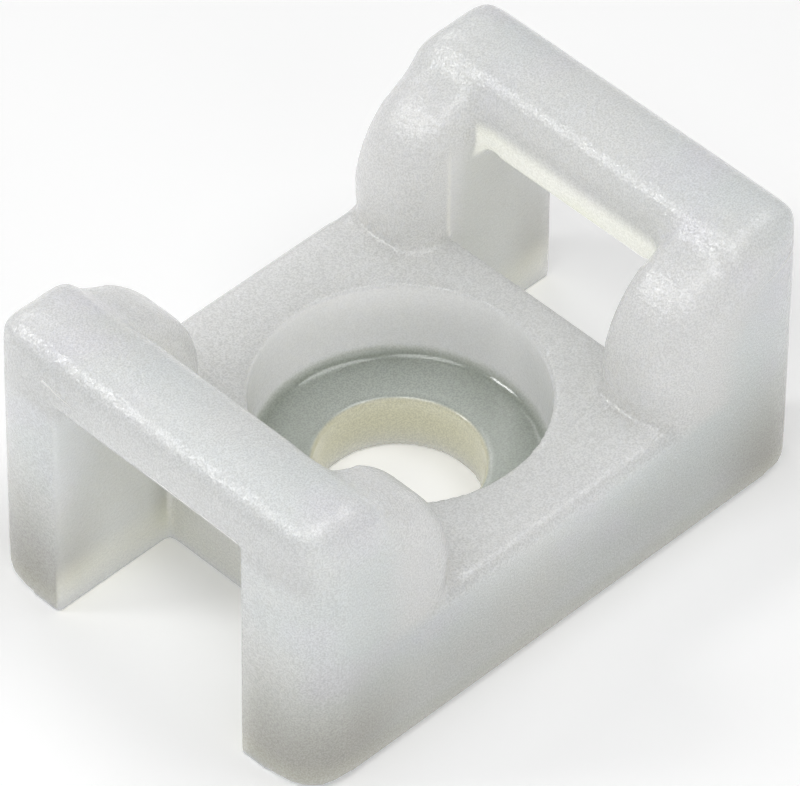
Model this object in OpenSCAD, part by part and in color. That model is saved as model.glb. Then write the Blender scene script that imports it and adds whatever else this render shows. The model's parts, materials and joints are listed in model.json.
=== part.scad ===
// Screw-down cable tie mount, moulded in one piece: a block with a counterbored screw hole,
// four corner posts, and a bar across each end, under which the tie is threaded.
// X runs along the tie, Y along the cable, and the base stands on Z = 0. Millimetres.

/* [Body] */
// Length over both end bars
length = 15; // [13:0.1:20]
// Width across the side walls
width = 10; // [9.4:0.1:14]
// Height of the bars above the base
height = 7.6; // [7.3:0.1:9]
// Radius of the four upright outer corners
corner_r = 1.1; // [0.3:0.05:1.4]
// Radius of the outer lower edges, round the foot
foot_r = 0.3; // [0.05:0.05:0.5]

/* [Floor] */
// Height of the floor that the tie lies on
floor_h = 3.5; // [3:0.1:4]
// Length of the solid block between the two tie slots
block_l = 8.4; // [7.4:0.1:9]
// Radius of the long upper edges of the side walls
wall_edge_r = 0.35; // [0.1:0.05:0.6]

/* [Tie slots] */
// Width of each slot, between the posts
slot_w = 5.6; // [4:0.1:6]
// Height of the slot roof at its inner edge
roof_in_z = 5.3; // [4.9:0.05:5.5]
// Height of the slot roof at its outer edge
roof_out_z = 6.15; // [5.8:0.05:6.2]
// Radius of the posts' upright edges at the slot mouth
mouth_r = 0.1; // [0.04:0.02:0.4]

/* [Bars] */
// Breadth of each bar, along the length
bar_w = 2.4; // [2:0.05:2.8]
// Drop of the bar's top from its outer to its inner edge
bar_fall = 0.15; // [0:0.05:0.4]
// Radius of the bar's outer upper edge
bar_out_r = 0.9; // [0.3:0.05:1]
// Radius of the bar's inner upper edge
bar_in_r = 0.8; // [0.3:0.05:1]
// Radius of the upper edges at the bar's two ends
bar_end_r = 1.1; // [0.3:0.05:1.2]
// Radius of the lower edges of the bars
bar_under_r = 0.3; // [0.1:0.05:0.3]

/* [Ears] */
// Radius of the round ears that lean on the bars
ear_r = 2.9; // [2.3:0.05:3]
// Height of the ears' centre above the base
ear_z = 4.2; // [3.8:0.05:4.3]
// Distance from the mount's middle to the foot of an ear
ear_foot_x = 3; // [2.8:0.05:3.3]
// Radius of the ears' rims beside the slot
ear_in_r = 0.5; // [0.1:0.05:0.8]
// Radius of the ears' rims at the side walls
ear_out_r = 0.9; // [0.1:0.05:1]

/* [Screw] */
// Diameter of the screw hole
hole_d = 3.75; // [3:0.05:4.5]
// Diameter of the well for the screw head
well_d = 6.6; // [5.6:0.05:7]
// Thickness of the plate that the screw head clamps
seat_h = 1.45; // [1:0.05:2]
// Radius round the bottom of the well
well_r = 0.3; // [0.1:0.05:0.5]
// Radius of the upper edge of the screw hole
hole_edge_r = 0.12; // [0.05:0.01:0.2]

/* [Hidden] */
// Breadth of a post, which an ear fills
post_w = (width - slot_w) / 2;
// Distance from the mount's middle to the centre of an ear
ear_x = ear_foot_x + ear_r;
// How far a cutting shape runs past what it cuts
over = 1;
// Straight pieces in each rounded corner
arc_steps = 10;

// Unit vector from point a towards point b
function toward(a, b) = (b - a) / norm(b - a);

// Turn from one angle to another the short way round, in degrees
function short_turn(from, to) = (to - from + 540) % 360 - 180;

// Points of the arc that rounds corner b, given as [x, y, radius], between a and c
function corner_arc(a, b, c) =
    let (
        p = [b.x, b.y],
        u = toward(p, [a.x, a.y]),
        v = toward(p, [c.x, c.y]),
        half = acos(u * v) / 2,
        centre = p + (u + v) / norm(u + v) * b.z / sin(half),
        start = p + u * b.z / tan(half) - centre,
        end = p + v * b.z / tan(half) - centre,
        from = atan2(start.y, start.x),
        turn = short_turn(from, atan2(end.y, end.x))
    )
    b.z == 0 ? [p] : [
        for (i = [0 : arc_steps])
            centre + b.z * [cos(from + turn * i / arc_steps), sin(from + turn * i / arc_steps)]
    ];

// Outline through corners given as [x, y, radius]
function rounded(corners) =
    let (n = len(corners))
    [for (i = [0 : n - 1]) each corner_arc(corners[(i + n - 1) % n], corners[i], corners[(i + 1) % n])];

// Outline seen from above, over everything
module plan() {
    x = length / 2;
    y = width / 2;
    polygon(rounded([[x, -y, corner_r], [x, y, corner_r], [-x, y, corner_r], [-x, -y, corner_r]]));
}

// What the tie slots leave open, seen from above: a slot with a flared mouth
module slot_plan() {
    inner = block_l / 2;
    outer = length / 2;
    y = slot_w / 2;
    polygon(concat(
        [[inner, -y]],
        corner_arc([inner, -y], [outer, -y, mouth_r], [outer, -y - over]),
        [[outer + over, -y - mouth_r], [outer + over, y + mouth_r]],
        corner_arc([outer, y + over], [outer, y, mouth_r], [inner, y]),
        [[inner, y]]
    ));
}

// Outline from the end: the long lower and upper edges of the side walls are rounded
module wall_profile(h, edge_r) {
    y = width / 2;
    polygon(rounded([[-y, 0, foot_r], [y, 0, foot_r], [y, h, edge_r], [-y, h, edge_r]]));
}

// Outline from the side of one end, from the given height at the inner and outer edge upwards
module end_profile(inner_z, outer_z, inner_r, outer_r) {
    outer = length / 2;
    inner = outer - bar_w;
    polygon(rounded([
        [inner, inner_z, inner_r],
        [outer, outer_z, outer_r],
        [outer, height, bar_out_r],
        [inner, height - bar_fall, bar_in_r]
    ]));
}

// Stands an outline drawn in X and Z across the width given, centred on Y = 0
module across(w) {
    rotate([90, 0, 0]) linear_extrude(w, center = true) children();
}

// Runs an outline drawn in Y and Z along the whole length
module along() {
    rotate([90, 0, 90]) linear_extrude(length + 2 * over, center = true) children();
}

// One copy at each end
module both_ends() {
    children();
    mirror([1, 0, 0]) children();
}

// One copy on each side
module both_sides() {
    children();
    mirror([0, 1, 0]) children();
}

// Block and side walls up to the floor
module floor_block() {
    intersection() {
        linear_extrude(floor_h) plan();
        along() wall_profile(floor_h, wall_edge_r);
    }
}

// Posts at one end, with the bar's own top
module posts() {
    across(width) end_profile(0, 0, 0, foot_r);
}

// Bar across one end, over the sloping roof of the slot
module bar() {
    across(slot_w + 2 * mouth_r) end_profile(roof_in_z, roof_out_z, bar_under_r, bar_under_r);
}

// Round ear that leans on a bar, beside the slot
module ear() {
    translate([ear_x, slot_w / 2, ear_z])
        rotate([-90, 0, 0])
            rotate_extrude($fn = 96)
                polygon(rounded([[0, 0, 0], [ear_r, 0, ear_in_r], [ear_r, post_w, ear_out_r], [0, post_w, 0]]));
}

// Screw hole and the well for the screw head, as one turned shape
module screw_well() {
    hole_r = hole_d / 2;
    rotate_extrude($fn = 96)
        polygon(rounded([
            [0, -over, 0],
            [hole_r, -over, 0],
            [hole_r, seat_h, hole_edge_r],
            [well_d / 2, seat_h, well_r],
            [well_d / 2, height, 0],
            [0, height, 0]
        ]));
}

// Everything that stands above the floor
module upper_works() {
    intersection() {
        linear_extrude(height) plan();
        along() wall_profile(height, bar_end_r);
        both_ends() posts();
    }
}

module tie_mount() {
    color("whitesmoke")
        difference() {
            union() {
                difference() {
                    union() {
                        floor_block();
                        upper_works();
                        intersection() {
                            linear_extrude(height) plan();
                            both_ends() both_sides() ear();
                        }
                    }
                    both_ends() translate([0, 0, -over]) linear_extrude(height + 2 * over) slot_plan();
                }
                intersection() {
                    linear_extrude(height) plan();
                    both_ends() bar();
                }
            }
            screw_well();
        }
}

tie_mount();
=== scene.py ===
import json
import math

import bmesh
import bpy
from mathutils import Euler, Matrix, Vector, noise
from mathutils.bvhtree import BVHTree


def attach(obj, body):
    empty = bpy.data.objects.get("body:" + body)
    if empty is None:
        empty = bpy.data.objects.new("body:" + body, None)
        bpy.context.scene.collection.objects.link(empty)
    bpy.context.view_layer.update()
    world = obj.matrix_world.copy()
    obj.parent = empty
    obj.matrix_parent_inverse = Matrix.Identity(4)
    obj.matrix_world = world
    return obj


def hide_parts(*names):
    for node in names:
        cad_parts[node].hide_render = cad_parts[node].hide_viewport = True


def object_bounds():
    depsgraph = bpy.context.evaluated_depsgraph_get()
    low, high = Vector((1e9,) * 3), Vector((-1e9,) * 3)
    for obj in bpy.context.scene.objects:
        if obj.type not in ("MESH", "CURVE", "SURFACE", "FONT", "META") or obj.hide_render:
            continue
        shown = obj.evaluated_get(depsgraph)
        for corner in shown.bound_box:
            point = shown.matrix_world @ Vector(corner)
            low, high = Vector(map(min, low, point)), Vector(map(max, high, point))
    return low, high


mm = 0.001  # one millimetre, in metres

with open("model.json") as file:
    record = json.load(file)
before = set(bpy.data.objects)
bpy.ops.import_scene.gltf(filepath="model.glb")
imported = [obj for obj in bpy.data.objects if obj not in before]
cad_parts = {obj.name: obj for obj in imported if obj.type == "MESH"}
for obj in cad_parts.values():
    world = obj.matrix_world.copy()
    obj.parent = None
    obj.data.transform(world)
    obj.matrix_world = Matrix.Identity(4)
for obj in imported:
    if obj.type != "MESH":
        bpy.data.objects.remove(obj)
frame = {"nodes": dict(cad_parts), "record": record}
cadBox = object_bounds()
mounts = {mount["name"]: mount for mount in frame["record"]["mounts"]}
holeRadius = mounts["screw_hole"]["dims"]["r_mm"] * mm
wellRadius = mounts["screw_well"]["dims"]["r_mm"] * mm
seatHeight = mounts["screw_seat"]["pos_m"][2]
print("frame loaded")


class Wire:  # one output of a node; sums and products of wires become Math nodes
    def __init__(self, tree, socket):
        self.tree = tree
        self.socket = socket

    def math(self, operation, *values):
        node = self.tree.nodes.new("ShaderNodeMath")
        node.operation = operation
        for place, value in zip(node.inputs, values):
            if isinstance(value, Wire):
                self.tree.links.new(value.socket, place)
            else:
                place.default_value = value
        return Wire(self.tree, node.outputs[0])

    def __add__(self, other):
        return self.math("ADD", self, other)

    def __radd__(self, other):
        return self.math("ADD", other, self)

    def __sub__(self, other):
        return self.math("SUBTRACT", self, other)

    def __rsub__(self, other):
        return self.math("SUBTRACT", other, self)

    def __mul__(self, other):
        return self.math("MULTIPLY", self, other)

    def __rmul__(self, other):
        return self.math("MULTIPLY", other, self)

    def __abs__(self):
        return self.math("ABSOLUTE", self)

    def root(self):
        return self.math("SQRT", self)


class Finish:  # a material, built one node at a time
    def __init__(self, name):
        self.material = bpy.data.materials.new(name)
        self.material.use_nodes = True
        self.tree = self.material.node_tree
        self.tree.nodes.clear()

    def fill(self, socket, value):
        if isinstance(value, Wire):
            self.tree.links.new(value.socket, socket)
        else:
            socket.default_value = value

    def node(self, kind, settings, values, output=0):
        node = self.tree.nodes.new(kind)
        for name, setting in settings.items():
            setattr(node, name, setting)
        for name, value in values.items():
            self.fill(node.inputs[name], value)
        return Wire(self.tree, node.outputs[output])

    def place(self):
        return self.node("ShaderNodeTexCoord", {}, {}, "Object")

    def axis(self, place, name):
        return self.node("ShaderNodeSeparateXYZ", {}, {"Vector": place}, name)

    def noise(self, place, size, detail=2, roughness=0.5):
        values = {"Vector": place, "Scale": 1 / size, "Detail": detail, "Roughness": roughness}
        return self.node("ShaderNodeTexNoise", {}, values)

    def rise(self, value, low, high):  # 0 below low, 1 above high, smooth between
        settings = {"interpolation_type": "SMOOTHSTEP", "clamp": True}
        return self.node("ShaderNodeMapRange", settings, {"Value": value, "From Min": low, "From Max": high})

    def fall(self, value, low, high):  # 1 below low, 0 above high, smooth between
        return 1 - self.rise(value, low, high)

    def blend(self, factor, first, second):
        node = self.tree.nodes.new("ShaderNodeMix")
        node.data_type = "RGBA"
        for index, value in ((0, factor), (6, first), (7, second)):
            self.fill(node.inputs[index], value)
        return Wire(self.tree, node.outputs[2])

    def tint(self, colour, shade):  # the colour times a grey shade
        values = {"Vector": colour, "Scale": shade}
        return self.node("ShaderNodeVectorMath", {"operation": "SCALE"}, values)

    def shade(self, values):
        surface = self.node("ShaderNodeBsdfPrincipled", {}, values)
        output = self.tree.nodes.new("ShaderNodeOutputMaterial")
        self.tree.links.new(surface.socket, output.inputs["Surface"])
        return self.material


nylon = {
    "milky": (0.79, 0.805, 0.795, 1),
    "cool": (0.755, 0.80, 0.805, 1),
    "violet": (0.785, 0.775, 0.85, 1),
    "violetShare": 0.6,
    "inner": (0.835, 0.84, 0.835, 1),  # painted light between the bars, where the bars shade the top
    "rim": (0.68, 0.695, 0.70, 1),  # painted shade on the bars' outer edges, from their lower edge up
    "wall": (0.965, 0.97, 0.975, 1),  # painted light on the side of the screw's well
    # painted shade on the slots' side walls
    "slotSide": (0.74, 0.755, 0.735, 1),
    # painted light at the slots' ends
    "slotEnd": (0.97, 0.965, 0.91, 1),
    "holeShade": (0.66, 0.64, 0.475, 1),  # painted shade, tinted yellowish, on the side of the screw hole
    # painted shade on the well's floor
    "seat": (0.41, 0.445, 0.415, 1),
    # painted shade: darker towards the bottom, less in the middle of the mount
    "foot": (0.37, 0.365, 0.335, 1),
    "footMiddle": 0.5,  # share of the foot's colour that the middle of the mount takes
    "sole": (0.95, 0.94, 0.76, 1),  # painted light, yellowish, on the lowest part of the slots' walls
    "edge": (0.45, 0.44, 0.355, 1),  # painted shade, tinted yellowish, along the lowest edge all round
    "edgeShare": 0.7,
    "speckDepth": 0.21,  # how much darker the finest specks are
    "speckFade": 0.6,  # how much weaker they are in the slots and on the well's side
    "speckSize": 0.04 * mm,
    "cloudSize": 4 * mm,
    "tintSize": 2.2 * mm,
    # where the noise of each kind starts and ends
    "cloudSpan": (0.35, 0.65),
    "tintSpan": (0.5, 0.75),
    "speckSpan": (0.35, 0.65),
    "fineRoughness": 0.6,  # of the noise behind specks and grain
    "roughness": 0.20,
    "smoothRoughness": 0.16,  # in the well
    "gloss": 0.8,
    "index": 1.53,
    "grainSize": 0.10 * mm,
    "grainHeight": 0.025 * mm,
    "grainFade": 0.8,  # how much weaker the grain is in the well
    # stand in for the light that comes through the bars' inner lower edge
    "toeGlow": (1.0, 1.0, 0.84, 1),
    "toeGreen": (0.92, 1.0, 0.50, 1),
    "toeStrength": 0.30,
    "dark": (0, 0, 0, 1),
    "glow": 1.0,
    "glowDepth": 6.0 * mm,
    "glowShares": (1.0, 0.97, 0.88),  # how deep red, green and blue go
    # where a zone's edge starts and ends, in mm: along the tie, across it or up from the base
    "zones": {
        "wellSide": (-0.02, 0.04),  # out from the well's radius
        "wellUp": (0.3, 0.9),
        "soleUp": (0.06, 0.12),
        "holeSide": (0.02, 0.10),  # out from the hole's radius
        "seatUp": (0.02, 0.4),  # up from the seat
        "innerAlong": (4.4, 5.6),
        "innerUp": (3.0, 3.6),
        "rimAlong": (7.0, 7.4),
        "rimUp": (5.6, 6.1),
        "footAlong": (4.0, 6.5),
        "footUp": (0.2, 5.0),
        "edgeUp": (0.1, 0.9),
        "slotAlong": (4.1, 4.3),
        "slotAcross": (2.82, 2.9),
        "slotUp": (5.3, 6.1),
        "slotSideStart": (4.3, 4.9),
        "slotSideEnd": (5.6, 7.5),
        "slotEndAlong": (4.22, 4.35),
        "slotSoleUp": (0.1, 1.6),
        "toeBottom": (5.2, 5.5),
        "toeTop": (6.0, 6.5),
        "toeStart": (4.9, 5.0),
        "toeEnd": (5.15, 5.6),
        "toeAcross": (2.6, 3.0),
    },
}


def limits(zone, start=0.0):
    low, high = nylon["zones"][zone]
    return start + low * mm, start + high * mm


def findZones(finish, place):
    x = finish.axis(place, "X")
    y = finish.axis(place, "Y")
    z = finish.axis(place, "Z")
    along = abs(x)
    across = abs(y)
    fromAxis = (x * x + y * y).root()
    # the well's side; its colour is painted light, and it is smoother and less grainy
    well = finish.fall(fromAxis, *limits("wellSide", wellRadius))
    well = well * finish.rise(z, *limits("wellUp"))
    offSole = finish.rise(z, *limits("soleUp"))  # leaves the underside plain
    # painted shade, tinted yellowish, on the side of the screw hole
    hole = finish.fall(fromAxis, *limits("holeSide", holeRadius))
    # painted shade on the well's floor
    seat = well * finish.fall(z, *limits("seatUp", seatHeight))
    # painted light between the bars
    inner = finish.fall(along, *limits("innerAlong")) * finish.rise(z, *limits("innerUp"))
    # painted shade on the bars' outer edges
    rim = finish.rise(along, *limits("rimAlong")) * finish.rise(z, *limits("rimUp"))
    # painted shade, darker towards the bottom
    middle = nylon["footMiddle"]
    nearEnd = middle + (1 - middle) * finish.rise(along, *limits("footAlong"))
    foot = nearEnd * finish.fall(z, *limits("footUp")) * offSole
    # painted shade along the lowest edge
    edge = finish.fall(z, *limits("edgeUp")) * offSole
    # the slots: painted shade on their sides, painted light at their ends and low down
    slot = finish.rise(along, *limits("slotAlong")) * finish.fall(across, *limits("slotAcross"))
    slot = slot * finish.fall(z, *limits("slotUp"))
    slotSide = slot * finish.rise(along, *limits("slotSideStart"))
    slotSide = slotSide * finish.fall(along, *limits("slotSideEnd"))
    slotEnd = slot * finish.fall(along, *limits("slotEndAlong"))
    sole = slot * finish.fall(z, *limits("slotSoleUp"))
    toe = finish.rise(z, *limits("toeBottom")) * finish.fall(z, *limits("toeTop"))
    toe = toe * finish.rise(along, *limits("toeStart")) * finish.fall(along, *limits("toeEnd"))
    toe = toe * finish.fall(across, *limits("toeAcross"))
    return {
        "inner": inner,
        "rim": rim,
        "foot": foot,
        "edge": edge * nylon["edgeShare"],
        "slotSide": slotSide,
        "slotEnd": slotEnd,
        "sole": sole,
        "wall": well,
        "seat": seat,
        "holeShade": hole,
        "slot": slot,
        "toe": toe,
    }


def paintNylon(finish, place, zones, clouds):
    tints = finish.rise(finish.noise(place, nylon["tintSize"], 1), *nylon["tintSpan"])
    specks = finish.noise(place, nylon["speckSize"], 2, nylon["fineRoughness"])
    specks = finish.rise(specks, *nylon["speckSpan"])
    base = finish.blend(clouds, nylon["milky"], nylon["cool"])
    base = finish.blend(tints * nylon["violetShare"], base, nylon["violet"])
    # paints light and shade into the colour, zone by zone
    for name in ("inner", "rim", "foot", "edge", "slotSide", "slotEnd", "sole", "wall", "seat", "holeShade"):
        base = finish.blend(zones[name], base, nylon[name])
    bright = zones["wall"] - zones["seat"] + zones["slot"]
    return finish.tint(base, 1 - specks * nylon["speckDepth"] * (1 - nylon["speckFade"] * bright))


def makeNylon():
    finish = Finish("milkyNylon")
    place = finish.place()
    zones = findZones(finish, place)
    clouds = finish.rise(finish.noise(place, nylon["cloudSize"]), *nylon["cloudSpan"])
    base = paintNylon(finish, place, zones, clouds)
    well = zones["wall"]
    toeGlow = finish.blend(clouds, nylon["toeGlow"], nylon["toeGreen"])
    grain = finish.noise(place, nylon["grainSize"], 2, nylon["fineRoughness"])
    height = grain * (1 - nylon["grainFade"] * well)
    values = {"Height": height, "Distance": nylon["grainHeight"], "Strength": 1.0}
    bump = finish.node("ShaderNodeBump", {}, values)
    return finish.shade({
        "Base Color": base,
        "Roughness": nylon["roughness"] - (nylon["roughness"] - nylon["smoothRoughness"]) * well,
        "Normal": bump,
        "IOR": nylon["index"],
        "Specular IOR Level": nylon["gloss"],
        "Subsurface Weight": nylon["glow"],
        "Subsurface Radius": nylon["glowShares"],
        "Subsurface Scale": nylon["glowDepth"],
        "Emission Color": finish.blend(zones["toe"], nylon["dark"], toeGlow),
        "Emission Strength": nylon["toeStrength"],
    })


softening = {
    "cell": 0.10 * mm,  # size of the faces
    "depth": 8,  # halvings of the box that holds the even mesh
    "weld": 0.001 * mm,
    "pull": 0.5,  # how far one pass moves a point towards its neighbours' middle
    "edgePasses": 3,  # softens every edge a little
    "wallPasses": 12,  # evens out the round walls of the well and the hole
    "wallReach": 0.06 * mm,  # how far from its radius a point still belongs to a wall
    "wellWall": (seatHeight + 0.45 * mm, 3.2 * mm),
    "holeWall": (0.35 * mm, seatHeight - 0.3 * mm),
    # lowest and highest corner of a region, in mm for one quarter of the mount, and its passes
    "spots": (
        ((4.3, 2.2, 5.2), (6.4, 5.1, 7.9), 26),  # where an ear runs into a bar
        ((6.0, 3.4, 5.9), (7.6, 5.1, 7.9), 16),  # the rounded ends of the bars
        ((4.9, -1, 6.4), (7.6, 3.5, 7.9), 12),  # the backs of the bars
        ((2.7, 2.5, 3.3), (3.9, 5.1, 4.4), 14),  # the foot of an ear, towards the well
        ((3.0, 2.5, 3.3), (4.5, 3.2, 3.9), 8),  # the foot of an ear, beside the slot
        ((6.3, 3.6, -0.1), (7.6, 5.1, 0.8), 10),  # the outer corners of the feet
    ),
}


def evenMesh(source):
    shape = bmesh.new()
    shape.from_mesh(source)
    bmesh.ops.remove_doubles(shape, verts=shape.verts, dist=softening["weld"])
    mesh = bpy.data.meshes.new("evenMesh")
    shape.to_mesh(mesh)
    shape.free()
    carrier = bpy.data.objects.new("evenMesh", mesh)
    bpy.context.collection.objects.link(carrier)
    remesh = carrier.modifiers.new("evenFaces", "REMESH")
    remesh.mode = "SHARP"
    remesh.octree_depth = softening["depth"]
    longest = max(cadBox[1] - cadBox[0])
    remesh.scale = longest / (2 ** remesh.octree_depth * softening["cell"])
    remesh.use_remove_disconnected = False
    view = bpy.context.evaluated_depsgraph_get()
    even = bpy.data.meshes.new_from_object(carrier.evaluated_get(view))
    bpy.data.objects.remove(carrier)
    return even


def soften(shape, verts, passes):
    factor = softening["pull"]
    for turn in range(passes):
        bmesh.ops.smooth_vert(
            shape, verts=verts, factor=factor, use_axis_x=True, use_axis_y=True, use_axis_z=True
        )


def softenSpots(shape):
    for low, high, passes in softening["spots"]:
        verts = [
            vert
            for vert in shape.verts
            if all(low[i] * mm < abs(vert.co[i]) < high[i] * mm for i in range(3))
        ]
        soften(shape, verts, passes)


def softenWall(shape, radius, low, high):
    verts = [
        vert
        for vert in shape.verts
        if low < vert.co.z < high and abs(vert.co.xy.length - radius) < softening["wallReach"]
    ]
    soften(shape, verts, softening["wallPasses"])


marks = {
    "pinPlace": (5.85, 3.9),  # ejector pins under the four feet, in mm
    "pinRadius": 0.75 * mm,
    "pinDepth": 0.05 * mm,
    "gatePlace": (0.0, 1.75),  # along the tie and up, on the hidden long side, in mm
    "gateRadius": 0.9 * mm,
    "gateDepth": 0.10 * mm,
    "stubRadius": 0.35 * mm,
    "stubHeight": 0.07 * mm,
    "stubEven": 0.6,  # share of the stub's height that is even
    "stubRough": 0.4,
    "stubGrain": 0.2 * mm,
    "rim": 0.12 * mm,
    "reach": 0.15 * mm,  # how deep under a face its points still move
}


def pressed(distance, radius):  # 1 inside the radius, 0 outside, over the width of the rim
    share = (radius - distance) / marks["rim"] + 0.5
    return min(max(share, 0), 1)


def pressMarks(shape):
    pinCentre = Vector(marks["pinPlace"]) * mm
    gateCentre = Vector(marks["gatePlace"]) * mm
    bottom = cadBox[0][2]
    side = cadBox[1][1]
    for vert in shape.verts:
        if vert.co.z < bottom + marks["reach"]:
            distance = (Vector((abs(vert.co.x), abs(vert.co.y))) - pinCentre).length
            vert.co.z += marks["pinDepth"] * pressed(distance, marks["pinRadius"])
        if vert.co.y > side - marks["reach"]:
            distance = (Vector((vert.co.x, vert.co.z)) - gateCentre).length
            vert.co.y -= marks["gateDepth"] * pressed(distance, marks["gateRadius"])
            uneven = noise.noise(vert.co / marks["stubGrain"])
            rough = marks["stubEven"] + marks["stubRough"] * uneven
            vert.co.y += marks["stubHeight"] * rough * pressed(distance, marks["stubRadius"])


def keepInBox(shape):  # nothing stands out of the box of the solid
    for vert in shape.verts:
        for i in range(3):
            vert.co[i] = min(max(vert.co[i], cadBox[0][i]), cadBox[1][i])


def makeBody():
    mesh = evenMesh(frame["nodes"]["tie_mount"].data)
    shape = bmesh.new()
    shape.from_mesh(mesh)
    soften(shape, shape.verts, softening["edgePasses"])
    softenSpots(shape)
    softenWall(shape, wellRadius, *softening["wellWall"])
    softenWall(shape, holeRadius, *softening["holeWall"])
    pressMarks(shape)
    keepInBox(shape)
    shape.to_mesh(mesh)
    shape.free()
    for face in mesh.polygons:
        face.use_smooth = True
    mesh.materials.clear()
    mesh.materials.append(makeNylon())
    body = bpy.data.objects.new("mountBody", mesh)
    bpy.context.collection.objects.link(body)
    print("body made of", len(mesh.polygons), "faces")
    return body


body = makeBody()
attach(body, "root")
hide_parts("tie_mount")


flash = {
    "radius": 0.028 * mm,
    "sink": 0.006 * mm,  # how far the threads lie in the body
    "wave": 0.03 * mm,
    "waveSize": 0.25 * mm,
    "cuts": 60,
    "sides": 6,
    "taper": 0.5,  # power by which a thread thins towards its last point
    "weld": 0.0001 * mm,
    # near white, brighter than the body: the flash's own paleness and a painted highlight
    "colour": (1.0, 1.0, 0.99),
    "shadeLow": 0.9,
    "shadeSpan": 0.1,
    "roughness": 0.2,
    # where the two halves of the mould met: first and last point of each thread, in mm
    "threads": {
        "mouthLeft": ((-7.46, -2.78, 6.28), (-7.47, 0.3, 6.34)),
        "mouthRight": ((7.46, 2.78, 6.28), (7.47, -0.3, 6.34)),
        "endRight": ((6.95, -5.0, 6.50), (5.60, -5.0, 6.05)),
        "endLeft": ((-6.95, 5.0, 6.50), (-5.60, 5.0, 6.05)),
        "faceLeft": ((-7.5, 3.15, 6.80), (-7.5, 2.2, 6.62)),
    },
}


def makeThread(name, first, last, skin):
    start = Vector(first) * mm
    end = Vector(last) * mm
    turn = (end - start).to_track_quat("Z", "Y")
    shape = bmesh.new()
    bmesh.ops.create_cone(
        shape, cap_ends=True, segments=flash["sides"], radius1=1, radius2=1, depth=1
    )
    # the rod is 1 long at first, so only its long edges span more than half of that
    longEdges = [edge for edge in shape.edges if abs(edge.verts[0].co.z - edge.verts[1].co.z) > 0.5]
    bmesh.ops.subdivide_edges(shape, edges=longEdges, cuts=flash["cuts"])
    for vert in shape.verts:
        share = vert.co.z + 0.5
        thickness = flash["radius"] * (1 - share) ** flash["taper"]
        offset = turn @ Vector((vert.co.x * thickness, vert.co.y * thickness, 0))
        centre = start.lerp(end, share)
        centre = centre + noise.noise_vector(centre / flash["waveSize"]) * flash["wave"]
        spot, normal, face, distance = skin.find_nearest(centre)
        vert.co = spot - normal * flash["sink"] + offset
    bmesh.ops.remove_doubles(shape, verts=shape.verts, dist=flash["weld"])
    keepInBox(shape)
    bmesh.ops.recalc_face_normals(shape, faces=shape.faces)
    mesh = bpy.data.meshes.new(name)
    shape.to_mesh(mesh)
    shape.free()
    for face in mesh.polygons:
        face.use_smooth = True
    thread = bpy.data.objects.new(name, mesh)
    bpy.context.collection.objects.link(thread)
    return thread


def makeFlash(body):
    finish = Finish("flashNylonAndHighlight")
    grain = finish.noise(finish.place(), flash["waveSize"])
    material = finish.shade({
        "Base Color": finish.tint(flash["colour"], flash["shadeLow"] + flash["shadeSpan"] * grain),
        "Roughness": flash["roughness"],
        "IOR": nylon["index"],
    })
    skin = BVHTree.FromPolygons(
        [vert.co for vert in body.data.vertices], [list(face.vertices) for face in body.data.polygons]
    )
    for name, (first, last) in flash["threads"].items():
        thread = makeThread(name, first, last, skin)
        thread.data.materials.append(material)
        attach(thread, "root")


makeFlash(body)
print("mould lines made")


studio = {
    "floorSize": 0.6,
    "floorDrop": 0.01 * mm,  # keeps the floor clear of the mount's underside
    "floorColour": (0.93, 0.93, 0.93, 1),
    "floorRoughness": 0.9,
    "floorGlow": 0.22,
    "airColour": (1, 1, 1, 1),
    "airStrength": 0.26,
    # name: direction round and up in degrees, distance and width in metres, power in watts
    "lights": {
        "backLight": (75, 38, 0.30, 0.16, 0.11),
        "rightLight": (315, 68, 0.30, 0.16, 0.19),
        "leftLight": (195, 68, 0.07, 0.04, 0.0115),
        "keyLight": (138, 41, 0.30, 0.07, 0.14),
        "frontLight": (255, 30, 0.30, 0.16, 0.05),
    },
}


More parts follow.
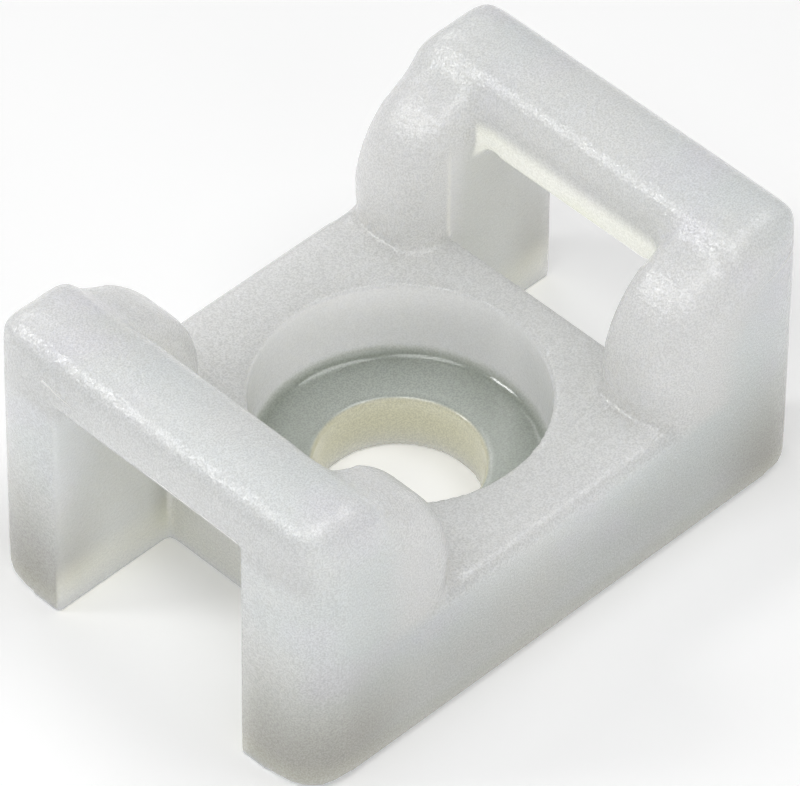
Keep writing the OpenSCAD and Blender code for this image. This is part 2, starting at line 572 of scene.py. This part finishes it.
def makeFloor():
    shape = bmesh.new()
    bmesh.ops.create_grid(shape, x_segments=1, y_segments=1, size=studio["floorSize"] / 2)
    bmesh.ops.translate(shape, verts=shape.verts, vec=(0, 0, -studio["floorDrop"]))
    mesh = bpy.data.meshes.new("floor")
    shape.to_mesh(mesh)
    shape.free()
    finish = Finish("paleFloor")
    mesh.materials.append(finish.shade({
        "Base Color": studio["floorColour"],
        "Roughness": studio["floorRoughness"],
        "Emission Color": studio["floorColour"],
        "Emission Strength": studio["floorGlow"],
    }))
    floor = bpy.data.objects.new("floor", mesh)
    bpy.context.collection.objects.link(floor)
    return floor


def addLight(name, around, up, distance, width, power):
    lamp = bpy.data.lights.new(name, "AREA")
    lamp.shape = "DISK"
    lamp.size = width
    lamp.energy = power
    light = bpy.data.objects.new(name, lamp)
    turn = Euler((0, math.radians(90 - up), math.radians(around)))
    direction = Vector((0, 0, 1))
    direction.rotate(turn)
    light.location = direction * distance
    light.rotation_euler = turn
    bpy.context.collection.objects.link(light)


def makeAir():
    world = bpy.data.worlds.new("studioAir")
    bpy.context.scene.world = world
    world.use_nodes = True
    background = world.node_tree.nodes["Background"]
    background.inputs["Color"].default_value = studio["airColour"]
    background.inputs["Strength"].default_value = studio["airStrength"]


camera = {
    "place": (-95.82 * mm, -95.49 * mm, 138.25 * mm),
    "turn": (45.107, -0.458, -44.640),  # in degrees
    "lens": 400.5,  # in millimetres, as is the sensor
    "sensor": 36,
    "nearest": 0.01,
}


def makeCamera():
    lens = bpy.data.cameras.new("camera")
    lens.lens = camera["lens"]
    lens.sensor_width = camera["sensor"]
    lens.sensor_fit = "HORIZONTAL"
    lens.clip_start = camera["nearest"]
    eye = bpy.data.objects.new("camera", lens)
    eye.location = camera["place"]
    eye.rotation_euler = Euler([math.radians(angle) for angle in camera["turn"]])
    bpy.context.collection.objects.link(eye)
    bpy.context.scene.camera = eye


makeFloor()
for name, values in studio["lights"].items():
    addLight(name, *values)
makeAir()
makeCamera()
bpy.context.scene.view_settings.view_transform = "Standard"
print("studio set")
